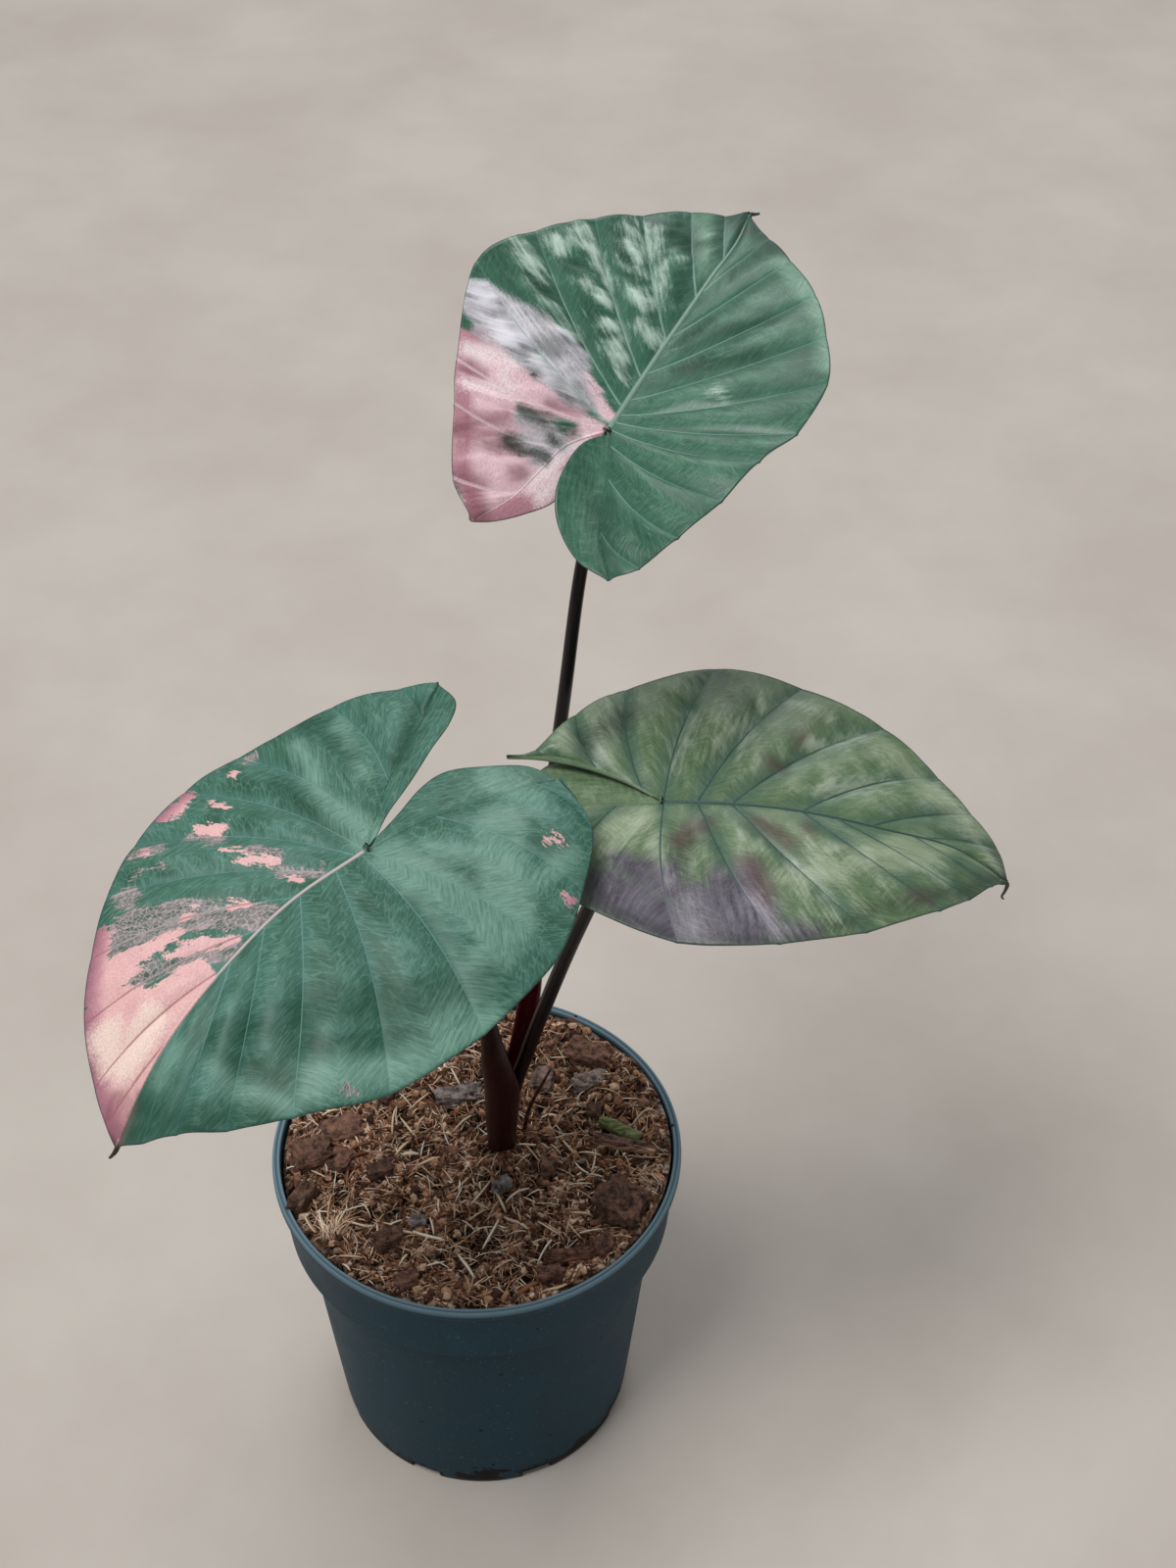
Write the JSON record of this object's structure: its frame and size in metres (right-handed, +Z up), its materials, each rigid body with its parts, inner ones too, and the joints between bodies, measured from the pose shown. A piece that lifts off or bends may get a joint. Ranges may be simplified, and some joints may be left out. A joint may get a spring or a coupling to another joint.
{
  "type": "potted variegated alocasia",
  "caption": "Young variegated alocasia with heart-shaped green and pink leaves on dark petioles, growing in bark mix in a round tapered nursery pot.",
  "frame": {"origin": "middle of the underside of the pot, on the surface it stands on", "axes": "+Z up along the pot's axis; +Y is away from the viewer of the front, towards which the front leaf leans (-Y); +X is to that viewer's right, where the right leaf reaches"},
  "size_m": [0.2565, 0.2403, 0.44],
  "materials": {
    "pot_plastic": "satin",
    "mix": "rough",
    "leaf": "satin",
    "petiole": "satin",
    "dry_leaf": "matte"
  },
  "bodies": {
    "root": {"pot": "pot_plastic", "potting_mix": "mix", "front_blade": "leaf", "top_blade": "leaf", "right_blade": "leaf", "front_petiole": "petiole", "top_petiole": "petiole", "right_petiole": "petiole", "dry_sheath": "dry_leaf"}
  },
  "joints": []
}
